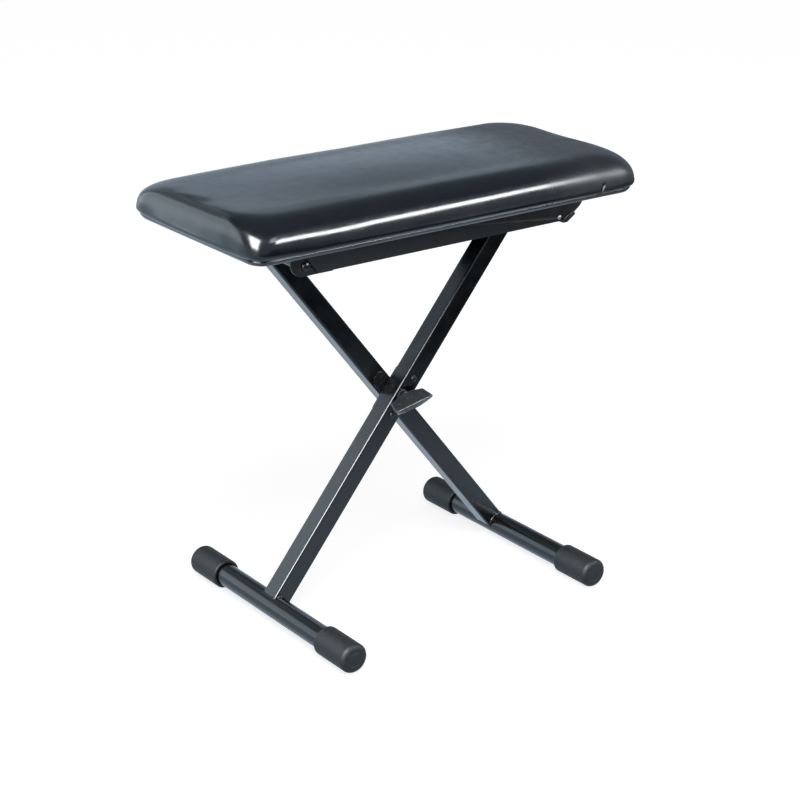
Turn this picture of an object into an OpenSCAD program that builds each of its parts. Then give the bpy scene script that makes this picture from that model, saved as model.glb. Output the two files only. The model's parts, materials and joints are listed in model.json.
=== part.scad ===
// Folding keyboard bench: an X frame of two square tubes under a padded seat.
// Millimetres, +Z up, +X along the seat. The origin is on the floor, midway between the four feet.

/* [Stance] */
// Distance between the axes of the two foot tubes, seat at its highest
foot_spacing = 420; // [400:1:440]
// Angle between each leg and the floor, seat at its highest
leg_angle = 51.15; // [50:0.05:52]
// How far the X frame stands behind the middle of the feet
frame_y = 23; // [18:1:28]

/* [Feet] */
// Length of a foot over both rubber caps
foot_length = 372; // [340:2:400]
// Diameter of a foot tube
foot_d = 31.8; // [30:0.1:34]
// Wall thickness of a foot tube
foot_wall = 1.6; // [1.2:0.1:2.5]
// Diameter of a rubber cap
cap_d = 41; // [39:0.5:44]
// Length of a rubber cap
cap_length = 66; // [50:1:80]
// Height of the flat worn on the underside of a cap
cap_flat = 0.4; // [0.2:0.1:0.8]

/* [Legs] */
// Outside width of the square leg tubes
leg_size = 28; // [26:0.5:30]
// Wall thickness of the leg tubes
leg_wall = 1.8; // [1.5:0.1:2.5]
// Radius of the leg tubes' corners
leg_corner = 2.6; // [2:0.1:4]
// Gap between the two legs
leg_gap = 6; // [5.6:0.1:7]
// How far a leg runs past the tube at its top
leg_overrun = 16; // [14:0.5:18]

/* [Pivot and lock] */
// Diameter of the pivot bolt
pivot_d = 8; // [8:0.5:10]
// Thickness of each lock plate
plate_t = 2.2; // [2:0.1:2.3]
// Width of each lock plate
plate_w = 24; // [22:1:26]
// Height of the radial teeth on the lock plates
tooth_h = 0.6; // [0.4:0.05:0.6]
// Number of radial teeth on each lock plate
tooth_count = 30; // [18:1:36]
// Distance of the bolts from the pivot on the near lock plate
near_bolt_reach = 29; // [27:1:32]
// Distance of the rivets from the pivot on the far lock plate
far_rivet_reach = 21.5; // [20:0.5:28]
// Length of the T handle
handle_length = 64; // [56:1:72]
// Depth of the handle's bar from front to back
handle_depth = 19; // [17:0.5:20]
// Height of the bar above the pivot
handle_rise = 9; // [8.5:0.5:11]
// Depth of the bar below the pivot
handle_drop = 13; // [11:0.5:15]
// Tilt of the handle when the lock is tight
handle_tilt = 10.5; // [0:0.5:30]

/* [Seat] */
// Length of the seat at its widest
seat_length = 636; // [620:2:650]
// How far the seat's middle stands to the right of the feet's middle
seat_shift = 1.5; // [0:0.5:3]
// Depth of the seat at its widest
seat_depth = 298; // [290:2:306]
// Height of the seat's underside above the floor
seat_z = 547; // [544:0.5:550]
// Height of the crown of the seat above its underside
seat_crown = 60; // [54:1:66]
// How far the bottom edge is drawn in from the widest outline
hem_inset = 9; // [6:0.5:10]
// Height of the widest outline above the seat's underside
belly_rise = 16; // [14:0.5:18]
// Height of the shoulders' upper edge above the seat's underside
shoulder_rise = 51.5; // [46:0.5:54]
// Reach of the shoulder over the seat's ends
end_shoulder = 26; // [20:1:36]
// Reach of the shoulder over the seat's long sides
side_shoulder = 60; // [50:1:70]
// Squareness of the shoulder's curve (2 is an ellipse)
shoulder_power = 2.9; // [2:0.1:3.4]
// Radius of the seat's corners at the bottom edge
hem_corner = 25; // [16:0.5:28]
// Radius of the seat's corners at the widest outline
belly_corner = 30; // [24:1:36]
// Radius of the seat's corners at the shoulders' upper edge
top_corner = 60; // [50:1:64]
// Thickness of the seat board
board_t = 15; // [12:1:18]
// Thickness of the vinyl cover
cover_t = 1.2; // [1:0.1:2]

/* [Rails] */
// Distance between the outer faces of the two rails
rail_spacing = 130; // [126:1:134]
// Depth of a rail below the seat
rail_depth = 50; // [48:1:52]
// Thickness of the rail sheet
rail_t = 2.5; // [2:0.1:3]
// Height of the track inside a rail
track_h = 18; // [17.6:0.1:19]
// Width of the lips that form the track
track_w = 18; // [16:0.5:20]
// Position of the rails' right ends
rail_right = 288; // [280:1:296]
// Position of the hinge plates' left ends
hinge_left = -206; // [-210:1:-202]

/* [Hidden] */

eps = 0.01;
vast = 2000;
// Radial running clearance of a shaft in its bush
run_fit = 0.05;

// Feet and legs
foot_z = cap_d / 2 - cap_flat;
pivot_z = foot_z + foot_spacing / 2 * tan(leg_angle);
leg_a_y = frame_y - (leg_gap + leg_size) / 2;
leg_b_y = frame_y + (leg_gap + leg_size) / 2;
leg_a_near = leg_a_y - leg_size / 2;
leg_a_far = leg_a_y + leg_size / 2;
leg_b_near = leg_b_y - leg_size / 2;
leg_b_far = leg_b_y + leg_size / 2;
cap_grip = 3.2;

// Rails and the two tubes at the legs' tops
rail_bottom = seat_z - rail_depth;
top_z = rail_bottom + rail_t + track_h / 2;
top_x = (top_z - pivot_z) / tan(leg_angle);
leg_reach = (top_z - foot_z) / sin(leg_angle);
pivot_reach = (pivot_z - foot_z) / sin(leg_angle);
rail_near_face = frame_y - rail_spacing / 2;
rail_far_face = frame_y + rail_spacing / 2;
hinge_plate_t = 3;
top_tube_d = 16;
top_tube_wall = 1.5;
hinge_bolt_d = 8;
bush_flange_t = 1.5;
bush_depth = 14;
flange_w = 20;
screw_d = 4;
screw_x = [-160, -40, 100, 240];
screw_inset = 10;
lock_bolt_d = 5;
lock_head_d = 9.5;
lock_head_t = 2.6;

// Seat
board_z = seat_z + cover_t;
// Corner radius of the board, which sits inside the cover
board_corner = hem_corner - 1;
return_w = 24;

/* ---------- shared shapes ---------- */

// Turns a shape drawn along +Z so that it runs along +Y
module along_y() {
    rotate([-90, 0, 0]) children();
}

// Puts a shape drawn along +Z on the line through (x, z) from y towards +Y
module on_y(x, y, z) {
    translate([x, y, z]) along_y() children();
}

// Rounded rectangle made of squares and circles, centred
module rounded_rect(w, h, r) {
    square([w, h - 2 * r], center = true);
    square([w - 2 * r, h], center = true);
    for (sx = [-1, 1], sy = [-1, 1])
        translate([sx * (w / 2 - r), sy * (h / 2 - r)]) circle(r, $fn = 32);
}

// Frame of a leg: local +X runs up the leg from its foot axis
module leg_frame(x, y, angle) {
    translate([x, y, foot_z]) rotate([0, -angle, 0]) children();
}

module leg_a_frame() {
    leg_frame(-foot_spacing / 2, leg_a_y, leg_angle) children();
}

module leg_b_frame() {
    leg_frame(foot_spacing / 2, leg_b_y, 180 - leg_angle) children();
}

// A ring or disc whose axis is the local +Z
module tube(outer_d, inner_d, h) {
    difference() {
        cylinder(h = h, d = outer_d, $fn = 64);
        translate([0, 0, -1]) cylinder(h = h + 2, d = inner_d, $fn = 64);
    }
}

// Button head that stands out along local +Z
module button_head(d, h) {
    rotate_extrude($fn = 48)
        polygon([[0, 0], [d / 2, 0], [d / 2, h * 0.35], [d * 0.38, h * 0.8], [d * 0.2, h], [0, h]]);
}

/* ---------- legs ---------- */

// Hollow inside of a leg tube
module leg_bore_outline() {
    inner = leg_size - 2 * leg_wall;
    rounded_rect(inner, inner, leg_corner - leg_wall / 2);
}

// Hole through both sides of a leg, at a reach from its foot axis
module leg_hole(reach, d) {
    translate([reach, -leg_size, 0]) along_y() cylinder(h = 2 * leg_size, d = d, $fn = 96);
}

// Square tube of one leg, cut to sit on its foot and drilled for the pivot and the top tube
module leg_tube(pivot_hole_d, bolt_reach) {
    difference() {
        rotate([90, 0, 90])
            linear_extrude(leg_reach + leg_overrun)
                difference() {
                    rounded_rect(leg_size, leg_size, leg_corner);
                    leg_bore_outline();
                }
        leg_hole(0, foot_d);
        leg_hole(pivot_reach, pivot_hole_d);
        leg_hole(leg_reach, top_tube_d);
        for (side = [-1, 1])
            leg_hole(pivot_reach + side * bolt_reach, lock_bolt_d);
    }
}

// Plastic plug in the open top end of a leg
module leg_plug() {
    cap_t = 2.5;
    stem = 6;
    translate([leg_reach + leg_overrun, 0, 0])
        rotate([90, 0, 90]) {
            linear_extrude(cap_t) rounded_rect(leg_size, leg_size, leg_corner);
            translate([0, 0, -stem]) linear_extrude(stem) leg_bore_outline();
        }
}

module leg_a_tube() {
    color("#2b2d30") leg_a_frame() leg_tube(bush_outer_d, near_bolt_reach);
}

module leg_b_tube() {
    color("#2b2d30") leg_b_frame() leg_tube(pivot_d, far_rivet_reach);
}

module leg_a_plug() {
    color("#1c1c1e") leg_a_frame() leg_plug();
}

module leg_b_plug() {
    color("#1c1c1e") leg_b_frame() leg_plug();
}

/* ---------- feet ---------- */

// Round tube that lies across the bottom of a leg
module foot_tube(x) {
    tube_length = foot_length - 2 * cap_grip;
    color("#2f3134")
        on_y(x, -tube_length / 2, foot_z) tube(foot_d, foot_d - 2 * foot_wall, tube_length);
}

// Rubber cap over the end of a foot; end is -1 for the near cap and 1 for the far one
module foot_cap(x, end) {
    r = cap_d / 2;
    grip_r = foot_d / 2;
    lip_r = 2;
    mouth_r = r - lip_r - 1.5;
    mouth_depth = 5;
    round_r = 7;
    color("#3c4044")
        difference() {
            translate([x, end * foot_length / 2, foot_z])
                rotate([end * 90, 0, 0])
                    rotate_extrude($fn = 96)
                        difference() {
                            union() {
                                translate([0, round_r]) square([r, cap_length - round_r - lip_r]);
                                square([r - round_r, round_r]);
                                translate([r - round_r, round_r])
                                    intersection() {
                                        circle(round_r, $fn = 48);
                                        translate([0, -round_r]) square(round_r);
                                    }
                                translate([0, cap_length - lip_r]) square([r - lip_r, lip_r]);
                                translate([r - lip_r, cap_length - lip_r])
                                    intersection() {
                                        circle(lip_r, $fn = 32);
                                        square(lip_r);
                                    }
                            }
                            translate([0, cap_grip]) square([grip_r, cap_length]);
                            translate([0, cap_length - mouth_depth]) square([mouth_r, mouth_depth + 1]);
                        }
            translate([x, 0, -cap_d / 2]) cube([cap_d, 2 * foot_length, cap_d], center = true);
        }
}

module foot_tube_left() {
    foot_tube(-foot_spacing / 2);
}

module foot_tube_right() {
    foot_tube(foot_spacing / 2);
}

module foot_cap_left_near() {
    foot_cap(-foot_spacing / 2, -1);
}

module foot_cap_left_far() {
    foot_cap(-foot_spacing / 2, 1);
}

module foot_cap_right_near() {
    foot_cap(foot_spacing / 2, -1);
}

module foot_cap_right_far() {
    foot_cap(foot_spacing / 2, 1);
}

/* ---------- centre pivot and height lock ---------- */

bush_outer_d = pivot_d + 4;
washer_t = 2;
washer_d = 20;
face_gap = 0.2;
bush_flange_y = leg_a_near - bush_flange_t;
near_washer_y = bush_flange_y - face_gap - washer_t;
handle_back_y = near_washer_y - face_gap;
hub_t = 4;
hub_d = 18;
insert_d = 12;
insert_t = 8.5;
bolt_end_y = handle_back_y - insert_t;
near_plate_y = leg_a_far;
far_plate_y = leg_b_near - plate_t;
tooth_outer_r = plate_w / 2 - 0.3;
tooth_inner_r = tooth_outer_r - 3.2;
tooth_root = 0.3;
spring_rim = 0.5;

// Bolt through both legs, its head behind the far leg
module pivot_bolt() {
    head_t = 5.3;
    head_d = 15;
    color("#8d9094") {
        on_y(0, bolt_end_y, pivot_z)
            cylinder(h = leg_b_far + washer_t - bolt_end_y, d = pivot_d, $fn = 64);
        on_y(0, leg_b_far + washer_t, pivot_z) cylinder(h = head_t, d = head_d, $fn = 6);
    }
}

// Nylon bush that carries the near leg on the bolt
module pivot_bush() {
    color("#383b3e")
        difference() {
            union() {
                on_y(0, bush_flange_y, pivot_z) cylinder(h = bush_flange_t, d = washer_d, $fn = 64);
                on_y(0, leg_a_near, pivot_z)
                    cylinder(h = leg_a_far + plate_t - leg_a_near, d = bush_outer_d, $fn = 64);
            }
            on_y(0, bush_flange_y - 1, pivot_z)
                cylinder(h = 2 * leg_size, d = pivot_d + 2 * run_fit, $fn = 64);
        }
}

module pivot_near_washer() {
    color("#2f3134") on_y(0, near_washer_y, pivot_z) tube(washer_d, pivot_d, washer_t);
}

module pivot_far_washer() {
    color("#8d9094") on_y(0, leg_b_far, pivot_z) tube(washer_d, pivot_d, washer_t);
}

// Conical spring washer that parts the lock plates when the handle is slack
module disc_spring() {
    front_y = near_plate_y + plate_t + 0.1;
    depth = far_plate_y - front_y;
    inner_r = pivot_d / 2 + 0.1;
    outer_r = tooth_inner_r - 0.4;
    color("#9a9da1")
        on_y(0, front_y, pivot_z)
            rotate_extrude($fn = 64)
                polygon([
                    [inner_r, 0],
                    [inner_r + spring_rim, 0],
                    [outer_r, depth - spring_rim],
                    [outer_r, depth],
                    [outer_r - spring_rim, depth],
                    [inner_r, spring_rim]
                ]);
}

// Strap with a ring of radial teeth on one face; local Z is the pivot axis, local X the leg
module lock_plate(hole_d, bolt_reach, tooth_z) {
    pitch = 360 / tooth_count;
    tooth_w = 0.9;
    difference() {
        linear_extrude(plate_t) {
            square([2 * bolt_reach, plate_w], center = true);
            for (side = [-1, 1])
                translate([side * bolt_reach, 0]) circle(d = plate_w, $fn = 64);
        }
        translate([0, 0, -1]) cylinder(h = plate_t + 2, d = hole_d, $fn = 64);
        for (side = [-1, 1])
            translate([side * bolt_reach, 0, -1])
                cylinder(h = plate_t + 2, d = lock_bolt_d, $fn = 32);
    }
    for (i = [0 : tooth_count - 1])
        rotate([0, 0, i * pitch])
            translate([tooth_inner_r, -tooth_w / 2, tooth_z])
                cube([tooth_outer_r - tooth_inner_r, tooth_w, tooth_h + tooth_root]);
}

module lock_plate_a() {
    color("#6f7275")
        translate([0, near_plate_y, pivot_z])
            rotate([-90, -leg_angle, 0])
                lock_plate(bush_outer_d, near_bolt_reach, plate_t - tooth_root);
}

module lock_plate_b() {
    color("#6f7275")
        translate([0, far_plate_y, pivot_z])
            rotate([-90, leg_angle - 180, 0])
                lock_plate(pivot_d, far_rivet_reach, -tooth_h);
}

// Two bolts that clamp the near plate, their heads on the near face of leg A
module lock_plate_a_bolts() {
    color("#7c7f83")
        for (side = [-1, 1])
            leg_a_frame()
                translate([pivot_reach + side * near_bolt_reach, -leg_size / 2, 0]) {
                    along_y() cylinder(h = leg_size + plate_t, d = lock_bolt_d, $fn = 32);
                    rotate([90, 0, 0]) button_head(lock_head_d, lock_head_t);
                }
}

// Two rivets that clamp the far plate, with low heads that pass behind the near plate
module lock_plate_b_rivets() {
    low_head_t = 1.2;
    low_head_d = 9;
    color("#7c7f83")
        for (side = [-1, 1])
            leg_b_frame()
                translate([pivot_reach + side * far_rivet_reach, 0, 0]) {
                    translate([0, -leg_size / 2 - plate_t, 0]) {
                        along_y() cylinder(h = leg_size + plate_t, d = lock_bolt_d, $fn = 32);
                        rotate([90, 0, 0]) cylinder(h = low_head_t, d = low_head_d, $fn = 48);
                    }
                    translate([0, leg_size / 2, 0]) along_y() button_head(lock_head_d, lock_head_t);
                }
}

// A pair of rounded corners of the handle's bar, mirrored about its middle
module bar_corners(x, y, z) {
    for (side = [-1, 1])
        translate([side * x, y, z]) sphere(2, $fn = 24);
}

// Bar of the handle, its back at y = 0: a slanted upper face above a ridge, and a keel below it
module handle_bar() {
    tip = handle_length / 2 - 2;
    back = -2;
    front = 2 - handle_depth;
    top = handle_rise - 2;
    bottom = 2 - handle_drop;
    hull() {
        bar_corners(tip * 0.3, back, top);
        bar_corners(tip * 0.88, back, top * 0.4);
        bar_corners(tip, front, -handle_rise / 3);
        bar_corners(tip * 0.35, front + 5, bottom);
        bar_corners(tip * 0.85, front + 5, bottom * 0.8);
        bar_corners(tip * 0.75, back, bottom * 0.8);
    }
}

// T handle that screws up the lock: a bar on a round hub, bored for its insert
module lock_handle() {
    color("#34373b")
        difference() {
            union() {
                on_y(0, handle_back_y - hub_t - 2, pivot_z) cylinder(h = hub_t + 2, d = hub_d, $fn = 64);
                translate([0, handle_back_y - hub_t, pivot_z])
                    rotate([0, -handle_tilt, 0]) handle_bar();
            }
            on_y(0, bolt_end_y - 0.5, pivot_z) cylinder(h = 2 * insert_t, d = insert_d, $fn = 64);
        }
}

// Threaded metal insert in the handle
module handle_insert() {
    color("#b08d4a")
        on_y(0, bolt_end_y, pivot_z) tube(insert_d, pivot_d + 2 * run_fit, insert_t - 0.2);
}

/* ---------- tubes at the legs' tops ---------- */

hinge_gap = 0.5;
hinge_near_y = rail_near_face + rail_t + hinge_plate_t;
hinge_far_y = rail_far_face - rail_t - hinge_plate_t;
slide_near_y = rail_near_face + rail_t;
slide_far_y = rail_far_face - rail_t;
glide_t = 14;
glide_gap = 0.2;

// Cross tube welded through the top of leg B
module hinge_tube() {
    start = hinge_near_y + hinge_gap + bush_flange_t;
    end = hinge_far_y - hinge_gap - bush_flange_t;
    color("#2b2d30")
        on_y(-top_x, start, top_z) tube(top_tube_d, top_tube_d - 2 * top_tube_wall, end - start);
}

// Flange and stem of a piece pressed into a tube end; local +Z points into the tube
module tube_end(flange_d, flange_t) {
    cylinder(h = flange_t, d = flange_d, $fn = 64);
    translate([0, 0, flange_t]) cylinder(h = bush_depth, d = top_tube_d - 2 * top_tube_wall, $fn = 64);
}

module hinge_bush() {
    difference() {
        tube_end(top_tube_d, bush_flange_t);
        translate([0, 0, -1])
            cylinder(h = bush_flange_t + bush_depth + 2, d = hinge_bolt_d + 2 * run_fit, $fn = 64);
    }
}

module hinge_bushes() {
    color("#383b3e") {
        on_y(-top_x, hinge_near_y + hinge_gap, top_z) hinge_bush();
        translate([-top_x, hinge_far_y - hinge_gap, top_z]) rotate([90, 0, 0]) hinge_bush();
    }
}

// Bolt that carries the seat on leg B
module hinge_bolt() {
    start = rail_near_face + rail_t;
    thread_end = 9;
    color("#8d9094") {
        on_y(-top_x, start, top_z)
            cylinder(h = hinge_far_y + hinge_plate_t + thread_end - start, d = hinge_bolt_d, $fn = 64);
        translate([-top_x, start, top_z]) rotate([90, 0, 0]) button_head(13, 4.4);
    }
}

module hinge_nut() {
    color("#8d9094")
        on_y(-top_x, hinge_far_y + hinge_plate_t, top_z)
            difference() {
                cylinder(h = 7, d = 15, $fn = 6);
                translate([0, 0, -1]) cylinder(h = 9, d = hinge_bolt_d, $fn = 64);
            }
}

// Cross tube welded through the top of leg A
module slide_tube() {
    start = slide_near_y + hinge_gap + glide_t;
    end = slide_far_y - hinge_gap - glide_t;
    color("#2b2d30")
        on_y(top_x, start, top_z) tube(top_tube_d, top_tube_d - 2 * top_tube_wall, end - start);
}

// Round nylon glides that run in the tracks of the rails
module slide_glides() {
    glide_d = track_h - 2 * glide_gap;
    color("#383b3e") {
        on_y(top_x, slide_near_y + hinge_gap, top_z) tube_end(glide_d, glide_t);
        translate([top_x, slide_far_y - hinge_gap, top_z]) rotate([90, 0, 0]) tube_end(glide_d, glide_t);
    }
}

/* ---------- rails under the seat ---------- */

hinge_lap = -140;
rail_cut = 33;
rail_foot_x = -top_x + 18;
flange_start = -top_x + 12;
shoe_drop = 3;
shoe_t = 1.8;
rivet_d = 4;
rivet_x = rail_right - rail_cut - 11;
rivet_rise = 6;
ledge_z = rail_bottom + rail_t + track_h;

// Side outline of a rail: a slanted left end and a cut-back lower right corner
module rail_outline() {
    slant = rail_depth / tan(leg_angle);
    polygon([
        [rail_foot_x, rail_bottom],
        [rail_right - rail_cut, rail_bottom],
        [rail_right - 18, rail_bottom + 8.5],
        [rail_right - 6, rail_bottom + 17],
        [rail_right, rail_bottom + 26],
        [rail_right, seat_z],
        [rail_foot_x - slant, seat_z]
    ]);
}

// Near rail, its lips towards the legs and its screw flange outwards
module rail_body() {
    color("#26282b")
        difference() {
            union() {
                translate([0, rail_near_face + rail_t, 0])
                    rotate([90, 0, 0]) linear_extrude(rail_t) rail_outline();
                translate([hinge_lap, rail_near_face + eps, rail_bottom])
                    cube([rail_right - rail_cut - 3 - hinge_lap, track_w, rail_t]);
                translate([hinge_lap, rail_near_face + eps, ledge_z])
                    cube([rail_right - 7 - hinge_lap, track_w, rail_t]);
                translate([flange_start, rail_near_face - flange_w + rail_t, seat_z - rail_t])
                    cube([rail_right - flange_start, flange_w, rail_t]);
            }
            for (x = screw_x)
                translate([x, rail_near_face - screw_inset, seat_z - rail_t - 1])
                    cylinder(h = rail_t + 2, d = screw_d, $fn = 32);
            translate([rivet_x, rail_near_face - 1, rail_bottom + rivet_rise])
                along_y() cylinder(h = rail_t + 2, d = rivet_d, $fn = 32);
        }
}

// The far parts of the seat frame mirror the near ones about the frame's middle
module mirrored() {
    translate([0, frame_y, 0]) mirror([0, 1, 0]) translate([0, -frame_y, 0]) children();
}

module rail_near() {
    rail_body();
}

module rail_far() {
    mirrored() rail_body();
}

// Plate inside a rail's left end that holds the hinge bolt
module hinge_plate() {
    low = rail_bottom - 2;
    corner = 19;
    color("#1f2123")
        translate([0, rail_near_face + rail_t + hinge_plate_t, 0])
            rotate([90, 0, 0])
                linear_extrude(hinge_plate_t)
                    difference() {
                        union() {
                            translate([hinge_left + corner, low])
                                square([hinge_lap - hinge_left - corner, corner]);
                            translate([hinge_left, low + corner])
                                square([hinge_lap - hinge_left, seat_z - low - corner]);
                            translate([hinge_left + corner, low + corner]) circle(corner, $fn = 64);
                        }
                        translate([-top_x, top_z]) circle(d = hinge_bolt_d, $fn = 64);
                    }
}

module hinge_plate_near() {
    hinge_plate();
}

module hinge_plate_far() {
    mirrored() hinge_plate();
}

// Screws up through the rail flanges into the seat board
module rail_screws() {
    bite = 11;
    color("#8d9094")
        for (x = screw_x, y = [rail_near_face - screw_inset, rail_far_face + screw_inset])
            translate([x, y, seat_z - rail_t]) {
                cylinder(h = rail_t + cover_t + bite, d = screw_d, $fn = 32);
                rotate([180, 0, 0]) button_head(8, 2.4);
            }
}

// Stop clipped over the lower right corner of the near rail, clear of the track
module end_shoe() {
    foot_x = rail_right - rail_cut;
    color("#141416") {
        translate([0, rail_near_face, 0])
            rotate([90, 0, 0])
                linear_extrude(shoe_t)
                    polygon([
                        [foot_x - 5, rail_bottom - shoe_drop],
                        [foot_x + 3, rail_bottom - shoe_drop],
                        [foot_x + 18, rail_bottom + 7],
                        [foot_x + 13, rail_bottom + 12],
                        [foot_x - 5, rail_bottom + 3]
                    ]);
        translate([foot_x - 5, rail_near_face, rail_bottom - shoe_drop])
            cube([8, track_w, shoe_drop]);
    }
}

// Rivet through the near rail's web beside its stop
module end_rivet() {
    color("#b9bcc0")
        translate([rivet_x, rail_near_face, rail_bottom + rivet_rise]) {
            along_y() cylinder(h = rail_t, d = rivet_d, $fn = 32);
            rotate([90, 0, 0]) button_head(6.5, 1.8);
        }
}

module rail_end_shoes() {
    end_shoe();
    mirrored() end_shoe();
}

module rail_end_rivets() {
    end_rivet();
    mirrored() end_rivet();
}

/* ---------- seat ---------- */

// Horizontal slice of the seat, drawn in from the widest outline at its ends and sides
module seat_slice(end_inset, side_inset, corner, z) {
    half_l = seat_length / 2 - end_inset - corner;
    half_d = seat_depth / 2 - side_inset - corner;
    translate([seat_shift, frame_y, z])
        linear_extrude(0.05)
            for (sx = [-1, 1], sy = [-1, 1])
                translate([sx * half_l, sy * half_d]) circle(corner, $fn = 32);
}

// Crowned pad: drawn in at the hem, widest low down, full shoulders, gently domed top
module seat_form(skin) {
    shoulder_h = shoulder_rise - belly_rise;
    crown_h = seat_crown - shoulder_rise;
    hull() {
        for (t = [0 : 0.25 : 0.75]) {
            inset = hem_inset * (1 - sin(90 * t)) + skin;
            corner = hem_corner + (belly_corner - hem_corner) * t - skin;
            seat_slice(inset, inset, corner, seat_z + belly_rise * t + skin * (1 - t));
        }
        for (a = [0 : 15 : 90]) {
            drawn_in = 1 - pow(cos(a), 2 / shoulder_power);
            rise = shoulder_h * pow(sin(a), 2 / shoulder_power);
            corner = belly_corner + (top_corner - belly_corner) * a / 90 - skin;
            seat_slice(end_shoulder * drawn_in + skin, side_shoulder * drawn_in + skin, corner,
                seat_z + belly_rise + rise - skin * sin(a));
        }
        for (t = [0.25 : 0.25 : 1])
            seat_slice(end_shoulder + 110 * t, side_shoulder + 75 * t, 12,
                seat_z + seat_crown - crown_h * pow(1 - t, 2) - skin - 0.05);
    }
}

// Plywood outline with round corners
module board_outline(extra) {
    inset = hem_inset + cover_t - extra;
    translate([seat_shift, frame_y])
        rounded_rect(seat_length - 2 * inset, seat_depth - 2 * inset, board_corner);
}

module seat_board() {
    color("#b08a5b")
        difference() {
            translate([0, 0, board_z]) linear_extrude(board_t) board_outline(-0.5);
            for (x = screw_x, y = [rail_near_face - screw_inset, rail_far_face + screw_inset])
                translate([x, y, board_z - 1]) cylinder(h = 12, d = screw_d, $fn = 32);
        }
}

module seat_foam() {
    color("#c9b26a")
        difference() {
            seat_form(cover_t);
            translate([0, 0, seat_z - 1])
                linear_extrude(board_t + cover_t + 1) square(vast, center = true);
        }
}

// Vinyl skin over the pad, folded under the board all round
module seat_cover() {
    color("#23262b")
        difference() {
            seat_form(0);
            difference() {
                seat_form(cover_t);
                translate([0, 0, seat_z - 1]) cube([vast, vast, 2 * cover_t], center = true);
            }
            translate([0, 0, board_z]) linear_extrude(board_t) board_outline(0);
            translate([0, 0, seat_z - 1]) linear_extrude(cover_t + 2) board_outline(-return_w);
        }
}

// Thin black cloth that closes the underside inside the vinyl's return
module underside_lining() {
    color("#101012")
        difference() {
            translate([0, 0, seat_z]) linear_extrude(cover_t) board_outline(-return_w - 0.2);
            for (x = screw_x, y = [rail_near_face - screw_inset, rail_far_face + screw_inset])
                translate([x, y, seat_z - 1]) cylinder(h = 12, d = screw_d, $fn = 32);
        }
}

// Staples that hold the vinyl to the board
module cover_staples() {
    edge_gap = 14;
    crown_l = 10;
    wire_w = 1.2;
    wire_t = 0.6;
    half_l = seat_length / 2 - hem_inset - edge_gap;
    half_d = seat_depth / 2 - hem_inset - edge_gap;
    color("#a9abad")
        translate([seat_shift, frame_y, seat_z - wire_t / 2])
            for (side = [-1, 1]) {
                for (x = [-260 : 65 : 260])
                    translate([x, side * half_d, 0]) cube([crown_l, wire_w, wire_t], center = true);
                for (y = [-75 : 50 : 75])
                    translate([side * half_l, y, 0]) cube([wire_w, crown_l, wire_t], center = true);
            }
}

seat_cover();
seat_foam();
seat_board();
underside_lining();
cover_staples();
rail_near();
rail_far();
hinge_plate_near();
hinge_plate_far();
rail_screws();
rail_end_shoes();
rail_end_rivets();
hinge_bolt();
hinge_nut();
hinge_tube();
hinge_bushes();
slide_tube();
slide_glides();
leg_a_tube();
leg_b_tube();
leg_a_plug();
leg_b_plug();
foot_tube_left();
foot_tube_right();
foot_cap_left_near();
foot_cap_left_far();
foot_cap_right_near();
foot_cap_right_far();
pivot_bolt();
pivot_bush();
pivot_near_washer();
pivot_far_washer();
disc_spring();
lock_plate_a();
lock_plate_b();
lock_plate_a_bolts();
lock_plate_b_rivets();
lock_handle();
handle_insert();
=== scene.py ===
import json
import math

import bmesh
import bpy
import numpy as np
from mathutils import Matrix, Vector, noise

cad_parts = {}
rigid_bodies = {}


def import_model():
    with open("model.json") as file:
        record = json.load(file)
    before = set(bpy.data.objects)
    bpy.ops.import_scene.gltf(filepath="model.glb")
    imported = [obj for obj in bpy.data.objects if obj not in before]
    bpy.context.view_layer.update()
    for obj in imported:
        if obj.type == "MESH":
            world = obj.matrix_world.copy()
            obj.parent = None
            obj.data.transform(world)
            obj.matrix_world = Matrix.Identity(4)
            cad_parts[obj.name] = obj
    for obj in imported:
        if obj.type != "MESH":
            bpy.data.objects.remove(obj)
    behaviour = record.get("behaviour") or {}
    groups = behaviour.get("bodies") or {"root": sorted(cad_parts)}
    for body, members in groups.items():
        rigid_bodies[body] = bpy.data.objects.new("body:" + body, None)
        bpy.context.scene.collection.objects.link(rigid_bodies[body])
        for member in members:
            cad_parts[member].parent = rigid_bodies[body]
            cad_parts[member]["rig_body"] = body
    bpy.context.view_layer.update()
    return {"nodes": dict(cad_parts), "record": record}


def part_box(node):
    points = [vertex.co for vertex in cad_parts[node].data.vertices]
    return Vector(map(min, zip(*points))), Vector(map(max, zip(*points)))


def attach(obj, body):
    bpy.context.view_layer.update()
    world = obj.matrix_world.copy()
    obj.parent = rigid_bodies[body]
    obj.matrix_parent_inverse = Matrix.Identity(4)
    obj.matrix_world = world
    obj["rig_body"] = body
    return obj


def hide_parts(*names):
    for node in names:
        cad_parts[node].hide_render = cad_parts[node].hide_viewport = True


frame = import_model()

# The folding keyboard bench, dressed and lit for the photograph's view. Lengths are in metres,
# X runs along the seat, Y away from the near side, and Z up from the floor.

MM = 0.001
NODES = frame["nodes"]


# ---------------------------------------------------------------- camera

# The photograph's frame is square. The camera stands in front of the bench's near left corner.
IMAGE_PX = 800
FOCAL_PX = 1952.25
SENSOR_MM = 36.0
CAMERA_PLACE = Vector((-1.53245, -1.97417, 1.24752))
CAMERA_AZIMUTH = math.radians(37.84)
CAMERA_PITCH = math.radians(21.30)
CAMERA_ROLL = math.radians(0.77)
CAMERA_REACH = 50


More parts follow.
